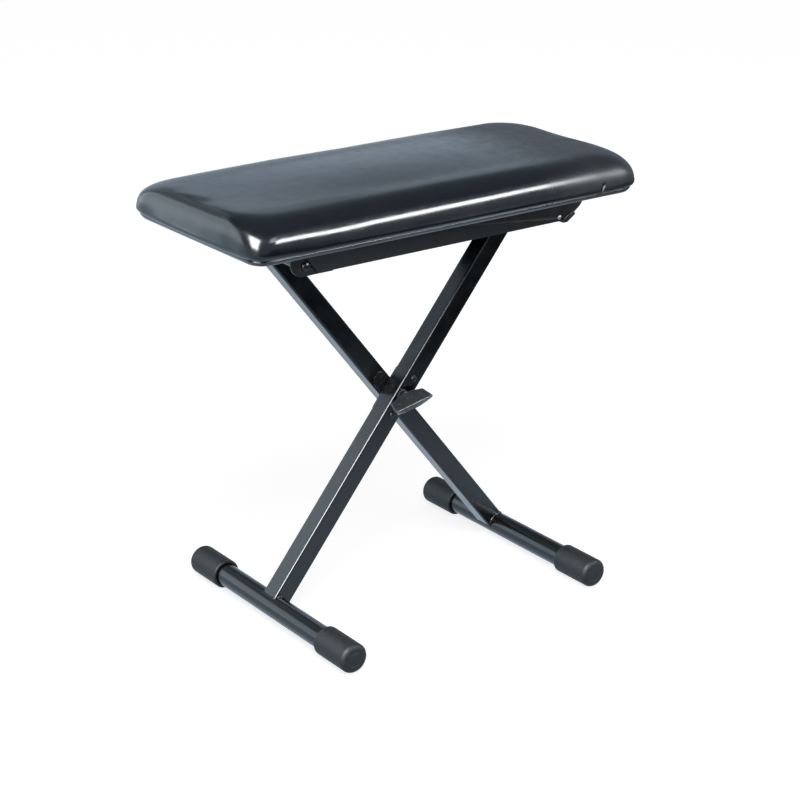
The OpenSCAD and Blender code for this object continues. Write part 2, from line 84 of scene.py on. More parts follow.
def make_camera():
    """The photograph's camera, fitted to the edges of the legs, feet and seat."""
    ahead = Vector((
        math.sin(CAMERA_AZIMUTH) * math.cos(CAMERA_PITCH),
        math.cos(CAMERA_AZIMUTH) * math.cos(CAMERA_PITCH),
        -math.sin(CAMERA_PITCH),
    ))
    level = ahead.cross(Vector((0, 0, 1))).normalized()
    upright = level.cross(ahead)
    right = math.cos(CAMERA_ROLL) * level + math.sin(CAMERA_ROLL) * upright
    up = math.cos(CAMERA_ROLL) * upright - math.sin(CAMERA_ROLL) * level
    data = bpy.data.cameras.new("camera")
    data.sensor_width = SENSOR_MM
    data.lens = FOCAL_PX / IMAGE_PX * SENSOR_MM
    data.clip_end = CAMERA_REACH
    camera = bpy.data.objects.new("camera", data)
    camera.matrix_world = Matrix((
        (right.x, up.x, -ahead.x, CAMERA_PLACE.x),
        (right.y, up.y, -ahead.y, CAMERA_PLACE.y),
        (right.z, up.z, -ahead.z, CAMERA_PLACE.z),
        (0, 0, 0, 1),
    ))
    bpy.context.scene.collection.objects.link(camera)
    bpy.context.scene.camera = camera


make_camera()


# ---------------------------------------------------------------- materials

# The ring in the end of each foot cap: the foot's axis, the cap's end, the ring's radius, half
# its width at the bottom and at the top, and where it sets in and is full, back from the end.
CAP_LOW, CAP_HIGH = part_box("foot_cap_right_far")
CAP_X = (CAP_LOW.x + CAP_HIGH.x) / 2
CAP_Z = (CAP_LOW.z + CAP_HIGH.z) / 2
CAP_END = CAP_HIGH.y
CAP_RING = 10 * MM
RING_HALF_WIDTH = (0.3 * MM, 1.1 * MM)
RING_SET_IN = (2 * MM, 1 * MM)

# Where the vinyl of the near side is pinched into a short fold: the fold's middle, its lean
# (sideways per height), half its width, half its length, and the depth over which it sets in.
PLEAT_X = 245.5 * MM
PLEAT_Y = -60 * MM
PLEAT_Z = 560.0 * MM
PLEAT_LEAN = 0.32
PLEAT_WIDTH = 3.2 * MM
PLEAT_REACH = 9.5 * MM
PLEAT_SET_IN = 20 * MM

# Towards its right end the seat's vinyl has lost its shine: from where to where along X, and
# how much rougher it is there.
DULL_START = 125 * MM
DULL_END = 235 * MM
DULL_ROUGHNESS = 0.24


class Tree:
    """A short way to write a node tree: each method adds a node and returns its output."""

    def __init__(self, tree):
        self.tree = tree

    def add(self, kind, **settings):
        node = self.tree.nodes.new(kind)
        for key, value in settings.items():
            setattr(node, key, value)
        return node

    def feed(self, socket, value):
        """Links an output to the socket, or sets the socket's own value. A colour has 3 parts."""
        if isinstance(value, bpy.types.NodeSocket):
            self.tree.links.new(value, socket)
        elif socket.type == "RGBA":
            socket.default_value = (*value, 1)
        else:
            socket.default_value = value

    def math(self, operation, a, b=0):
        node = self.add("ShaderNodeMath", operation=operation)
        self.feed(node.inputs[0], a)
        self.feed(node.inputs[1], b)
        return node.outputs["Value"]

    def product(self, vector, other):
        """The dot product of two vectors."""
        node = self.add("ShaderNodeVectorMath", operation="DOT_PRODUCT")
        self.feed(node.inputs[0], vector)
        self.feed(node.inputs[1], other)
        return node.outputs["Value"]

    def spread(self, fac, low, high, start=0.3, end=0.7, shape="LINEAR"):
        """Maps fac from start..end onto low..high."""
        node = self.add("ShaderNodeMapRange", interpolation_type=shape)
        node.inputs["From Min"].default_value = start
        node.inputs["From Max"].default_value = end
        node.inputs["To Min"].default_value = low
        node.inputs["To Max"].default_value = high
        self.feed(node.inputs["Value"], fac)
        return node.outputs["Result"]

    def light(self, kind, colour, strength):
        """An emission or background shader."""
        node = self.add(kind)
        self.feed(node.inputs["Color"], colour)
        self.feed(node.inputs["Strength"], strength)
        return node.outputs[0]

    def either(self, fac, first, second):
        """The first shader where fac is 0, and the second where it is 1."""
        node = self.add("ShaderNodeMixShader")
        self.feed(node.inputs["Fac"], fac)
        self.feed(node.inputs[1], first)
        self.feed(node.inputs[2], second)
        return node.outputs["Shader"]


class Material(Tree):
    """A procedural material on Blender's own surface shader."""

    def __init__(self, name, **values):
        self.material = bpy.data.materials.new(name)
        self.material.use_nodes = True
        super().__init__(self.material.node_tree)
        self.shader = self.tree.nodes["Principled BSDF"].inputs
        for key, value in values.items():
            self.feed(self.shader[key.replace("_", " ")], value)
        self.place = self.add("ShaderNodeTexCoord").outputs["Object"]

    def axes(self):
        """The place's X, Y and Z."""
        node = self.add("ShaderNodeSeparateXYZ")
        self.feed(node.inputs["Vector"], self.place)
        return [node.outputs[axis] for axis in "XYZ"]

    def noise(self, scale, detail=2.0, stretch=(1, 1, 1), roughness=0.5):
        mapping = self.add("ShaderNodeMapping")
        mapping.inputs["Scale"].default_value = stretch
        self.feed(mapping.inputs["Vector"], self.place)
        node = self.add("ShaderNodeTexNoise")
        node.inputs["Scale"].default_value = scale
        node.inputs["Detail"].default_value = detail
        node.inputs["Roughness"].default_value = roughness
        self.feed(node.inputs["Vector"], mapping.outputs["Vector"])
        return node.outputs["Fac"]

    def cells(self, scale):
        node = self.add("ShaderNodeTexVoronoi")
        node.inputs["Scale"].default_value = scale
        self.feed(node.inputs["Vector"], self.place)
        return node.outputs["Distance"]

    def waves(self, scale, direction, distortion=0.0, detail_scale=1.0):
        node = self.add("ShaderNodeTexWave", bands_direction=direction)
        node.inputs["Scale"].default_value = scale
        node.inputs["Distortion"].default_value = distortion
        node.inputs["Detail Scale"].default_value = detail_scale
        self.feed(node.inputs["Vector"], self.place)
        return node.outputs["Fac"]

    def colours(self, fac, first, second):
        """Sets the base colour: the first where fac is 0, and the second where it is 1."""
        node = self.add("ShaderNodeMix", data_type="RGBA")
        self.feed(node.inputs["Factor"], fac)
        for name, value in (("A", first), ("B", second)):
            self.feed(next(s for s in node.inputs if s.name == name and s.type == "RGBA"), value)
        self.feed(self.shader["Base Color"], next(s for s in node.outputs if s.type == "RGBA"))

    def mottle(self, fac, first, second):
        """Sets the base colour, which wanders between two colours as the noise fac does."""
        self.colours(self.spread(fac, 0, 1), first, second)

    def roughness(self, output):
        self.feed(self.shader["Roughness"], output)

    def bumps(self, *layers):
        """Stacks bump layers, each (height, strength, distance in metres), onto the shader's normal."""
        below = None
        for height, strength, distance in layers:
            node = self.add("ShaderNodeBump")
            node.inputs["Strength"].default_value = strength
            node.inputs["Distance"].default_value = distance
            self.feed(node.inputs["Height"], height)
            if below is not None:
                self.feed(node.inputs["Normal"], below)
            below = node.outputs["Normal"]
        self.feed(self.shader["Normal"], below)


def pleat(m):
    """Depth of the short fold pinched into the near side towards its right end, 0..1."""
    x, y, z = m.axes()
    foot = m.math("SUBTRACT", x, PLEAT_X)
    lean = m.math("MULTIPLY", m.math("SUBTRACT", z, PLEAT_Z), PLEAT_LEAN)
    beside = m.math("ABSOLUTE", m.math("SUBTRACT", foot, lean))
    across = m.spread(beside, 1, 0, 0, PLEAT_WIDTH)
    from_middle = m.math("ABSOLUTE", m.math("SUBTRACT", z, PLEAT_Z))
    along = m.spread(from_middle, 1, 0, PLEAT_REACH / 2, PLEAT_REACH)
    near = m.spread(y, 1, 0, PLEAT_Y - PLEAT_SET_IN, PLEAT_Y)
    return m.math("MULTIPLY", m.math("MULTIPLY", across, along), near)


def vinyl():
    """Glossy black vinyl with a fine grain, dull towards the right end."""
    m = Material("vinyl", IOR=1.46, Specular_Tint=(0.97, 0.99, 1.0))
    fold = m.math("SUBTRACT", 1, pleat(m))
    m.mottle(m.noise(14, 3), (0.006, 0.008, 0.012), (0.010, 0.012, 0.017))
    dulled = m.spread(m.axes()[0], 0.0, DULL_ROUGHNESS, DULL_START, DULL_END)
    m.roughness(m.math("ADD", m.spread(m.noise(60, 4), 0.16, 0.24), dulled))
    m.bumps(
        (m.noise(9, 2), 0.25, 1.2 * MM),
        (fold, 1.0, 4.0 * MM),
        (m.cells(1100), 0.14, 0.08 * MM),
        (m.noise(2600, 2), 0.08, 0.04 * MM),
    )
    return m.material


def enamel():
    """Glossy black paint on the legs and feet, slightly uneven and dusty."""
    m = Material("leg_enamel", IOR=1.5, Specular_Tint=(0.94, 0.98, 1.0))
    dust = m.spread(m.noise(190, 6, roughness=0.7), 0, 1, 0.50, 0.80)
    m.colours(dust, (0.002, 0.0025, 0.003), (0.009, 0.010, 0.011))
    m.roughness(m.spread(m.noise(45, 4), 0.16, 0.26))
    m.bumps((m.noise(220, 2), 0.07, 0.10 * MM), (m.noise(1200, 2), 0.10, 0.05 * MM))
    return m.material


def powder_coat():
    """Satin black coating on the rails."""
    m = Material("rail_powder_coat", IOR=1.42)
    m.mottle(m.noise(120, 5), (0.003, 0.003, 0.0035), (0.008, 0.008, 0.009))
    m.roughness(m.spread(m.noise(70, 4), 0.36, 0.52))
    m.bumps((m.noise(1500, 3), 0.30, 0.10 * MM), (m.noise(90, 2), 0.15, 0.15 * MM))
    return m.material


def cap_ring(m):
    """A shallow ring moulded into the end face of each cap, 0..1."""
    x, y, z = m.axes()
    beside = m.math("SUBTRACT", m.math("ABSOLUTE", x), CAP_X)
    above = m.math("SUBTRACT", z, CAP_Z)
    from_axis = m.math("SQRT", m.math("ADD", m.math("POWER", beside, 2), m.math("POWER", above, 2)))
    off_ring = m.math("ABSOLUTE", m.math("SUBTRACT", from_axis, CAP_RING))
    outward = m.math("ABSOLUTE", y)
    at_end = m.spread(outward, 0, 1, CAP_END - RING_SET_IN[0], CAP_END - RING_SET_IN[1])
    return m.math("MULTIPLY", m.spread(off_ring, 1, 0, *RING_HALF_WIDTH), at_end)


def rubber():
    """Matt black rubber with a grey bloom."""
    m = Material("cap_rubber", IOR=1.38, Specular_Tint=(0.92, 0.98, 1.0))
    ring = m.math("SUBTRACT", 1, cap_ring(m))
    m.mottle(m.noise(55, 5, roughness=0.65), (0.004, 0.006, 0.007), (0.010, 0.013, 0.015))
    m.roughness(m.spread(m.noise(120, 4), 0.50, 0.68))
    m.bumps(
        (ring, 0.8, 0.6 * MM),
        (m.noise(1300, 3), 0.25, 0.10 * MM),
        (m.noise(60, 2), 0.15, 0.25 * MM),
    )
    return m.material


def moulded_plastic():
    """Worn, slightly shiny black plastic of the handle, plugs and end shoes."""
    m = Material("moulded_plastic", IOR=1.49)
    m.mottle(m.noise(80, 4), (0.052, 0.062, 0.068), (0.068, 0.080, 0.088))
    m.roughness(m.spread(m.noise(160, 4), 0.18, 0.30))
    m.bumps((m.noise(2200, 2), 0.22, 0.06 * MM), (m.noise(150, 2), 0.10, 0.10 * MM))
    return m.material


def nylon():
    """Black nylon of the bushes and glides, greyed by use."""
    m = Material("nylon", IOR=1.53)
    m.mottle(m.noise(130, 4), (0.055, 0.060, 0.064), (0.085, 0.090, 0.094))
    m.roughness(m.spread(m.noise(200, 3), 0.38, 0.52))
    m.bumps((m.noise(700, 2), 0.15, 0.08 * MM),)
    return m.material


def plated_steel(name):
    """Dulled zinc plating."""
    m = Material(name, Metallic=1.0)
    m.mottle(m.noise(240, 5), (0.34, 0.35, 0.37), (0.48, 0.48, 0.49))
    m.roughness(m.spread(m.noise(500, 4), 0.24, 0.42))
    m.bumps((m.noise(1600, 2), 0.15, 0.04 * MM),)
    return m.material


def black_oxide():
    """Blackened steel, rubbed bright in spots."""
    m = Material("black_oxide_steel", Metallic=0.5, IOR=1.6)
    rub = m.spread(m.noise(420, 5, roughness=0.7), 0, 1, 0.55, 0.80)
    m.colours(rub, (0.012, 0.012, 0.013), (0.10, 0.10, 0.105))
    m.roughness(m.spread(m.noise(380, 4), 0.24, 0.40))
    m.bumps((m.noise(1400, 2), 0.2, 0.05 * MM),)
    return m.material


def turned_brass():
    """Brass with fine turning marks."""
    m = Material("turned_brass", Metallic=1.0)
    m.mottle(m.noise(300, 4), (0.62, 0.46, 0.20), (0.76, 0.58, 0.28))
    m.roughness(m.spread(m.noise(400, 3), 0.25, 0.40))
    m.bumps((m.waves(900, "Y"), 0.2, 0.03 * MM),)
    return m.material


def plywood():
    """Raw plywood with its grain along the seat."""
    m = Material("plywood", IOR=1.45)
    grain = m.noise(26, 6, stretch=(1, 9, 9), roughness=0.6)
    m.mottle(grain, (0.42, 0.29, 0.17), (0.66, 0.50, 0.32))
    m.roughness(m.spread(grain, 0.62, 0.82))
    m.bumps((grain, 0.3, 0.25 * MM),)
    return m.material


def foam():
    """Yellowed foam with open cells."""
    m = Material("foam", IOR=1.35)
    m.mottle(m.noise(200, 4), (0.66, 0.57, 0.30), (0.78, 0.70, 0.42))
    m.roughness(m.spread(m.noise(300, 3), 0.85, 0.98))
    m.bumps((m.cells(900), 0.6, 0.5 * MM),)
    return m.material


def lining_cloth():
    """Thin black woven cloth."""
    m = Material("lining_cloth", IOR=1.4, Sheen_Weight=0.3, Sheen_Roughness=0.5)
    weave = m.math("MULTIPLY", m.waves(330, "X", 0.6, 2.0), m.waves(330, "Y", 0.6, 2.0))
    m.colours(m.spread(weave, 0, 1, 0.0, 0.9), (0.010, 0.010, 0.011), (0.040, 0.040, 0.043))
    m.roughness(m.spread(m.noise(150, 3), 0.80, 0.95))
    m.bumps((weave, 0.5, 0.2 * MM), (m.noise(35, 3), 0.3, 0.6 * MM))
    return m.material


MATERIALS = {
    "vinyl": vinyl(),
    "foam": foam(),
    "plywood": plywood(),
    "lining": lining_cloth(),
    "staple_wire": plated_steel("staple_wire"),
    "rail_paint": powder_coat(),
    "leg_paint": enamel(),
    "bright_steel": plated_steel("bright_steel"),
    "blued_steel": black_oxide(),
    "nylon": nylon(),
    "black_plastic": moulded_plastic(),
    "cap_rubber": rubber(),
    "insert_brass": turned_brass(),
}

for part in frame["record"]["subparts"]:
    cad_node = NODES[part["node"]]
    cad_node.data.materials.clear()
    cad_node.data.materials.append(MATERIALS[part["material_slot"]])


# ---------------------------------------------------------------- making pieces

WELD_DISTANCE = 0.002 * MM
FLAT_ANGLE = math.radians(1.0)
SHARP_ANGLE = math.radians(30)
BEVEL_SEGMENTS = 3
BEAD_SIDES = 10
# A direction that no bead follows, which every bead's section is turned from.
BEAD_ASIDE = Vector((0.31, 0.17, 0.93))


def place(name, mesh, slot, body):
    """Puts a finished mesh in the scene as a smooth piece of one material, riding on a body."""
    mesh.polygons.foreach_set("use_smooth", [True] * len(mesh.polygons))
    mesh.materials.clear()
    mesh.materials.append(MATERIALS[slot])
    piece = bpy.data.objects.new(name, mesh)
    bpy.context.scene.collection.objects.link(piece)
    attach(piece, body)
    return piece


def mesh_from(name, vertices, faces):
    """A mesh made of plain lists of points and faces."""
    mesh = bpy.data.meshes.new(name)
    mesh.from_pydata([tuple(v) for v in vertices], [], faces)
    mesh.validate()
    return mesh


def joined(parts):
    """One vertex and face list from several (vertices, faces) pairs."""
    vertices, faces = [], []
    for part_vertices, part_faces in parts:
        base = len(vertices)
        vertices.extend(part_vertices)
        faces.extend([[base + i for i in face] for face in part_faces])
    return vertices, faces


def loft(rings):
    """Quads between closed rings of equal length, with a face over the first ring."""
    count = len(rings[0])
    vertices = [point for ring in rings for point in ring]
    faces = []
    for k in range(len(rings) - 1):
        for i in range(count):
            j = (i + 1) % count
            faces.append([k * count + i, k * count + j, (k + 1) * count + j, (k + 1) * count + i])
    faces.append(list(range(count))[::-1])
    return vertices, faces


def bead(path, radius):
    """A round bead along a closed path of points; radius is a function of the point's index."""
    count = len(path)
    vertices, faces = [], []
    for i, point in enumerate(path):
        ahead = (path[(i + 1) % count] - path[i - 1]).normalized()
        side = ahead.cross(BEAD_ASIDE).normalized()
        up = side.cross(ahead)
        here = i * BEAD_SIDES
        following = (i + 1) % count * BEAD_SIDES
        for k in range(BEAD_SIDES):
            angle = 2 * math.pi * k / BEAD_SIDES
            vertices.append(point + radius(i) * (math.cos(angle) * side + math.sin(angle) * up))
            turned = (k + 1) % BEAD_SIDES
            faces.append([here + k, following + k, following + turned, here + turned])
    return vertices, faces


def cad_copy(node, suffix):
    """A welded copy of a CAD node's mesh that stands for the node."""
    source = NODES[node]
    mesh = source.data.copy()
    work = bmesh.new()
    work.from_mesh(mesh)
    bmesh.ops.remove_doubles(work, verts=work.verts, dist=WELD_DISTANCE)
    bmesh.ops.dissolve_limit(work, angle_limit=FLAT_ANGLE, verts=work.verts, edges=work.edges)
    work.to_mesh(mesh)
    work.free()
    piece = bpy.data.objects.new(node + suffix, mesh)
    bpy.context.scene.collection.objects.link(piece)
    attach(piece, source["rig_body"])
    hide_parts(node)
    return piece


def softened(node, width):
    """Stands for a CAD node, with its sharp edges rounded over."""
    piece = cad_copy(node, "_finished")
    bevel = piece.modifiers.new("rounded edges", "BEVEL")
    bevel.width = width
    bevel.segments = BEVEL_SEGMENTS
    bevel.limit_method = "ANGLE"
    bevel.angle_limit = SHARP_ANGLE
    bevel.harden_normals = True
    piece.data.polygons.foreach_set("use_smooth", [True] * len(piece.data.polygons))


def moulded(node, voxel, passes):
    """Stands for a CAD node as a moulding with soft edges: remeshed finely, then smoothed."""
    piece = cad_copy(node, "_moulded")
    remesh = piece.modifiers.new("remesh", "REMESH")
    remesh.mode = "VOXEL"
    remesh.voxel_size = voxel
    smooth = piece.modifiers.new("smooth", "SMOOTH")
    smooth.factor = 0.5
    smooth.iterations = passes
    depsgraph = bpy.context.evaluated_depsgraph_get()
    mesh = bpy.data.meshes.new_from_object(piece.evaluated_get(depsgraph))
    piece.modifiers.clear()
    piece.data = mesh
    mesh.polygons.foreach_set("use_smooth", [True] * len(mesh.polygons))


# ---------------------------------------------------------------- seat cushion

SEAT_LOW, SEAT_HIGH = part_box("seat_cover")
SEAT_MIDDLE = (SEAT_LOW + SEAT_HIGH) / 2
SEAT_HALF_X = (SEAT_HIGH.x - SEAT_LOW.x) / 2
SEAT_HALF_Y = (SEAT_HIGH.y - SEAT_LOW.y) / 2

# The grid on top, and the rings between the hem, the belly, the shoulder and the grid.
CELLS_X = 92
CELLS_Y = 40
BELLY_STEPS = 4
SHOULDER_STEPS = 13
DOME_STEPS = 6

# Heights over the underside: the hem band's top, the widest line and the shoulder's top.
HEM_BAND = 7.2 * MM
BELLY_RISE = 16 * MM
SHOULDER_RISE = 53.2 * MM
# The crown's height over the shoulders, and how fast it falls off towards them.
CROWN = 4.0 * MM
CROWN_POWER = 1.5

# How far the cushion draws in: at the hem, over each shoulder, and on top as far as the grid.
HEM_INSET = 9 * MM
END_SHOULDER = 27 * MM
LEFT_SHOULDER = 22 * MM
SIDE_SHOULDER = 60 * MM
CORE_INSET = 34 * MM
# Superellipse powers of the shoulders' sections. The left end is the squarer one.
SHOULDER_POWER = 2.9
LEFT_POWER = 4.0

# Corner radii, seen from above.
HEM_CORNER = 20 * MM
BELLY_CORNER = 24 * MM
TOP_CORNER = 60 * MM
SMALLEST_CORNER = 0.001 * MM
INNER_HEM_CORNER = 1 * MM

# The step of the seam over the hem band.
SEAM_STEP = 0.5 * MM

# The filling: room left for the swell, the cloth's pressure, stiffness and frames, the most
# that a point may move, and how often the movement is evened.
SWELL_ROOM = 0.9 * MM
SWELL_LIMIT = 1.5 * MM
FILL_PRESSURE = 4.0
FILL_FRAMES = 20
CLOTH = {
    "quality": 4, "mass": 0.4, "tension_stiffness": 40, "compression_stiffness": 40,
    "shear_stiffness": 20, "bending_stiffness": 6,
}
SMOOTHING = 6

# Gathers over the hem at the corners: depth, fade upwards, how many degrees of the corner one
# takes, the irregular part of their depth, and where they set in before the corner.
GATHER = 1.5 * MM
GATHER_FADE = 24 * MM
GATHER_DEGREES = 45
GATHER_RAGGED = 0.7 * MM
GATHER_RAGGED_SCALE = 95
GATHER_START = 10 * MM
GATHER_SET_IN = 12 * MM

# Slack in the vinyl: two sizes of noise, each (depth, scale), more of it at one height.
SLACK = ((0.45 * MM, 11), (0.22 * MM, 29))
SLACK_EVERYWHERE = 0.35
SLACK_RISE = 24 * MM
SLACK_BAND = 14 * MM

# Fine puckers over the seam.
PUCKER = 0.16 * MM
PUCKER_SCALE = (140, 140, 22)
PUCKER_FADE = 16 * MM

# A shallow hollow high in the near side, towards its left end.
SLUMP = 1.6 * MM
SLUMP_X = -190 * MM
SLUMP_WIDTH = 85 * MM
SLUMP_RISE = 41 * MM
SLUMP_BAND = 13 * MM

# How far the top has sunk at the far corners, and where the sinking starts, as shares of the
# half length and the half width.
DROOP_LEFT = 4.0 * MM
DROOP_LEFT_START = (0.35, -0.6)
DROOP_RIGHT = 1.8 * MM
DROOP_RIGHT_START = (0.45, 0.25)

# The hem's section from inside the underside to the seam above the hem band, in millimetres:
# (distance in from the hem line, height above the underside).
HEM_SECTION = [
    (25, 1.4), (25, 0.2), (18, 0.0), (10, 0.0), (4, 0.0), (1.5, 0.2), (0.4, 0.9), (-0.6, 2.1),
    (-1.5, 3.5), (-2.3, 4.9), (-2.7, 5.9), (-2.4, 6.6), (-1.4, 7.1),
]


def side_point(half_along, half_out, radius, share):
    """A point on one side of a rounded rectangle, share 0..1 from corner to corner."""
    arc = radius * math.pi / 4
    straight = 2 * (half_along - radius)
    s = share * (2 * arc + straight)
    if s < arc:
        angle, centre = s / radius - math.pi / 4, -(half_along - radius)
    elif s > arc + straight:
        angle, centre = (s - arc - straight) / radius, half_along - radius
    else:
        return s - arc - (half_along - radius), half_out
    return centre + radius * math.sin(angle), half_out - radius + radius * math.cos(angle)


def seat_ring(end_inset, side_inset, corner, height, left_inset=None):
    """One level of the cushion, its points in step with the border of the grid on top.

    left_inset is the left end's own inset, where it differs from the right end's."""
    half_x = SEAT_HALF_X - end_inset
    leftward = 1 if left_inset is None else (SEAT_HALF_X - left_inset) / half_x
    half_y = SEAT_HALF_Y - side_inset
    corner = max(corner, SMALLEST_CORNER)
    ring = []
    sides = ((half_x, half_y, CELLS_X), (half_y, half_x, CELLS_Y)) * 2
    for turn, (along, out, cells) in enumerate(sides):
        for i in range(cells):
            u, w = side_point(along, out, corner, i / cells)
            x, y = ((u, -w), (w, u), (-u, w), (-w, -u))[turn]
            x *= leftward if x < 0 else 1
            ring.append(Vector((SEAT_MIDDLE.x + x, SEAT_MIDDLE.y + y, SEAT_LOW.z + height)))
    return ring


def beyond(start, value):
    """How far value has come from start towards 1, as a share, and 0 before start."""
    return max(value - start, 0) / (1 - start)


def droop_at(x, y):
    """How far the cushion's top has sunk towards its far corners, most at the left one."""
    along = (x - SEAT_MIDDLE.x) / SEAT_HALF_X
    back = (y - SEAT_MIDDLE.y) / SEAT_HALF_Y
    left = beyond(DROOP_LEFT_START[0], -along) * min(beyond(DROOP_LEFT_START[1], back), 1)
    right = beyond(DROOP_RIGHT_START[0], along) * beyond(DROOP_RIGHT_START[1], back)
    return DROOP_LEFT * left + DROOP_RIGHT * right


def crown_at(x, y):
    """Height of the domed top over the shoulders' upper edge."""
    u = min(abs(x - SEAT_MIDDLE.x) / (SEAT_HALF_X - END_SHOULDER), 1)
    v = min(abs(y - SEAT_MIDDLE.y) / (SEAT_HALF_Y - SIDE_SHOULDER), 1)
    return CROWN * ((1 - u ** 2) * (1 - v ** 2)) ** CROWN_POWER


def seat_rings():
    """The cushion's levels from inside the underside to the grid on top, and how many are hem."""
    rings = []
    for inset, height in HEM_SECTION:
        inset = HEM_INSET + inset * MM
        corner = HEM_CORNER - min(max(inset - HEM_INSET, 0), HEM_CORNER - INNER_HEM_CORNER)
        rings.append(seat_ring(inset, inset, corner, height * MM))
    hem_count = len(rings)
    for k in range(BELLY_STEPS):
        rise = HEM_BAND + SEAM_STEP + (BELLY_RISE - HEM_BAND) * k / BELLY_STEPS
        share = rise / BELLY_RISE
        inset = HEM_INSET * (1 - math.sin(math.pi / 2 * share)) + (SEAM_STEP if k == 0 else 0)
        corner = HEM_CORNER + (BELLY_CORNER - HEM_CORNER) * share
        rings.append(seat_ring(inset + SWELL_ROOM, inset + SWELL_ROOM, corner, rise))
    for k in range(SHOULDER_STEPS + 1):
        angle = math.pi / 2 * k / SHOULDER_STEPS
        drawn_in = 1 - max(math.cos(angle), 0) ** (2 / SHOULDER_POWER)
        climb = math.sin(angle) ** (2 / SHOULDER_POWER)
        left_drawn_in = 1 - max(1 - climb ** LEFT_POWER, 0) ** (1 / LEFT_POWER)
        rise = (SHOULDER_RISE - BELLY_RISE) * climb
        rings.append(seat_ring(
            END_SHOULDER * drawn_in + SWELL_ROOM, SIDE_SHOULDER * drawn_in + SWELL_ROOM,
            BELLY_CORNER + (TOP_CORNER - BELLY_CORNER) * k / SHOULDER_STEPS,
            BELLY_RISE + rise - SWELL_ROOM * math.sin(angle),
            LEFT_SHOULDER * left_drawn_in + SWELL_ROOM,
        ))
    for k in range(1, DOME_STEPS + 1):
        share = k / DOME_STEPS
        ring = seat_ring(
            END_SHOULDER + CORE_INSET * share, SIDE_SHOULDER + CORE_INSET * share,
            TOP_CORNER * (1 - share), SHOULDER_RISE - SWELL_ROOM,
            LEFT_SHOULDER + (END_SHOULDER + CORE_INSET - LEFT_SHOULDER) * share,
        )
        for point in ring:
            point.z += crown_at(point.x, point.y)
        rings.append(ring)
    return rings, hem_count


def seat_shell():
    """Vertices and faces of the cushion's cover, and how many of the vertices are sewn down."""
    rings, hem_count = seat_rings()
    vertices, faces = loft(rings)
    count = len(rings[0])
    border = (len(rings) - 1) * count
    index = {}
    for i in range(CELLS_X):
        index[i, 0] = border + i
        index[CELLS_X - i, CELLS_Y] = border + CELLS_X + CELLS_Y + i
    for j in range(CELLS_Y):
        index[CELLS_X, j] = border + CELLS_X + j
        index[0, CELLS_Y - j] = border + 2 * CELLS_X + CELLS_Y + j
    core_x = SEAT_HALF_X - END_SHOULDER - CORE_INSET
    core_y = SEAT_HALF_Y - SIDE_SHOULDER - CORE_INSET
    for i in range(1, CELLS_X):
        for j in range(1, CELLS_Y):
            x = SEAT_MIDDLE.x + (2 * i / CELLS_X - 1) * core_x
            y = SEAT_MIDDLE.y + (2 * j / CELLS_Y - 1) * core_y
            index[i, j] = len(vertices)
            z = SEAT_LOW.z + SHOULDER_RISE - SWELL_ROOM + crown_at(x, y)
            vertices.append(Vector((x, y, z)))
    for i in range(CELLS_X):
        for j in range(CELLS_Y):
            faces.append([index[i, j], index[i + 1, j], index[i + 1, j + 1], index[i, j + 1]])
    return vertices, faces, hem_count * count


def coordinates(mesh):
    """Every vertex's place, as rows of an array."""
    found = np.zeros(len(mesh.vertices) * 3)
    mesh.vertices.foreach_get("co", found)
    return found.reshape(-1, 3)


def directions(mesh):
    """Every vertex's normal, as rows of an array."""
    found = np.zeros(len(mesh.vertices) * 3)
    mesh.vertices.foreach_get("normal", found)
    return found.reshape(-1, 3)


def evened(mesh, moved):
    """Averages each point's movement with its neighbours', to keep the swell without creases."""
    pairs = np.zeros(len(mesh.edges) * 2, dtype=np.int64)
    mesh.edges.foreach_get("vertices", pairs)
    first, second = pairs.reshape(-1, 2).T
    shares = 1 + np.bincount(pairs, minlength=len(moved))
    for _ in range(SMOOTHING):
        total = moved.copy()
        np.add.at(total, first, moved[second])
        np.add.at(total, second, moved[first])
        moved = total / shares[:, None]
    return moved


def inflate(piece, pinned):
    """Fills the cover like a tight cushion: cloth under pressure, held at the pinned points.

    Every other point stays within SWELL_LIMIT of its start."""
    start = coordinates(piece.data)
    group = piece.vertex_groups.new(name="sewn")
    group.add(pinned, 1.0, "REPLACE")
    cloth = piece.modifiers.new("fill", "CLOTH")
    for key, value in CLOTH.items():
        setattr(cloth.settings, key, value)
    cloth.settings.use_pressure = True
    cloth.settings.uniform_pressure_force = FILL_PRESSURE
    cloth.settings.effector_weights.gravity = 0
    cloth.settings.vertex_group_mass = "sewn"
    cloth.point_cache.frame_start = 1
    cloth.point_cache.frame_end = FILL_FRAMES
    for step in range(1, FILL_FRAMES + 1):
        bpy.context.scene.frame_set(step)
    depsgraph = bpy.context.evaluated_depsgraph_get()
    moved = coordinates(piece.evaluated_get(depsgraph).to_mesh()) - start
    piece.modifiers.remove(cloth)
    piece.vertex_groups.remove(group)
    bpy.context.scene.frame_set(1)
    moved[len(pinned):] = evened(piece.data, moved)[len(pinned):]
    length = np.linalg.norm(moved, axis=1)
    kept = np.tanh(length / SWELL_LIMIT) * SWELL_LIMIT / np.maximum(length, 1e-9)
    final = start + moved * kept[:, None]
    piece.data.vertices.foreach_set("co", final.ravel())
    piece.data.update()


def corner_angle(x, y):
    """How far round its corner a point stands, and how near the corner is.

    The first is in degrees, 0 at the long side and 90 at the end. The second is 0..1."""
    dx = abs(x - SEAT_MIDDLE.x) - (SEAT_HALF_X - BELLY_CORNER - GATHER_START)
    dy = abs(y - SEAT_MIDDLE.y) - (SEAT_HALF_Y - BELLY_CORNER - GATHER_START)
    near = min(max(min(dx, dy) / GATHER_SET_IN + 1, 0), 1)
    return math.degrees(math.atan2(max(dx, 0), max(dy, 1e-9))), near


